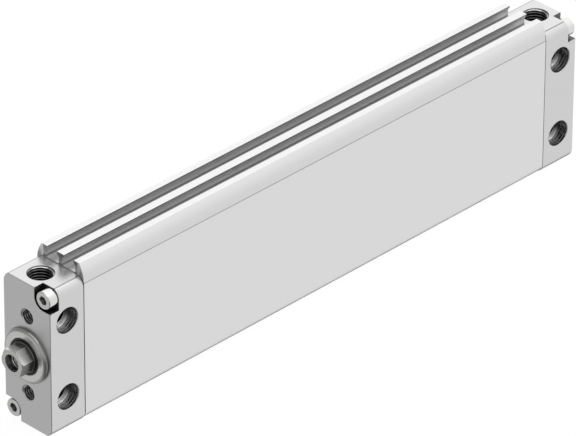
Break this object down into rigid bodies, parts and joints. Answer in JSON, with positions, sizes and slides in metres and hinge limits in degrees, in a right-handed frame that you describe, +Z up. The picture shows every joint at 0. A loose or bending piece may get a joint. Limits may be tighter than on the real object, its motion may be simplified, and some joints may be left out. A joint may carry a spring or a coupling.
{
  "type": "flat pneumatic cylinder",
  "caption": "Flat double-acting pneumatic cylinder with an oval piston, sensor slots on top, threaded air ports, cross holes in both caps and a threaded rod nose.",
  "frame": {"origin": "where the rod axis meets the mounting face of the front cap, midway between its two face threads", "axes": "+X along the rod, out of the front cap; +Z up through the sensor slots and the air ports; +Y towards the side seen in the picture"},
  "size_m": [0.2787, 0.024, 0.0651],
  "materials": {
    "barrel_aluminium": "satin anodised extrusion",
    "cap_aluminium": "fine satin anodised, machined",
    "collar_metal": "turned, bright",
    "rod_steel": "ground and milled steel",
    "screw_steel": "zinc plated",
    "piston_aluminium": "machined",
    "bush_bronze": "sintered bronze",
    "guide_plastic": "moulded bearing plastic",
    "magnet": "plastic-bonded magnet",
    "black_rubber": "matte elastomer",
    "bumper_rubber": "matte elastomer"
  },
  "bodies": {
    "cylinder": {"barrel_profile": "barrel_aluminium", "front_cap": "cap_aluminium", "rear_cap": "cap_aluminium", "front_cap_seal": "black_rubber", "rear_cap_seal": "black_rubber", "bearing_collar": "collar_metal", "rod_bush": "bush_bronze", "rod_wiper": "black_rubber", "rod_seal": "black_rubber", "front_bumper": "bumper_rubber", "rear_bumper": "bumper_rubber", "front_cap_screw_upper": "screw_steel", "front_cap_screw_lower": "screw_steel", "rear_cap_screw_upper": "screw_steel", "rear_cap_screw_lower": "screw_steel"},
    "rod_and_piston": {"piston_rod": "rod_steel", "piston_front_plate": "piston_aluminium", "piston_guide": "guide_plastic", "piston_rear_plate": "piston_aluminium", "piston_seal_front": "black_rubber", "piston_seal_rear": "black_rubber", "piston_magnet": "magnet", "rod_o_ring": "black_rubber", "piston_screw": "screw_steel"}
  },
  "joints": [
    {"name": "rod_stroke", "type": "slide", "parent": "cylinder", "child": "rod_and_piston", "axis": [1, 0, 0], "range_m": [0, 0.2]}
  ]
}
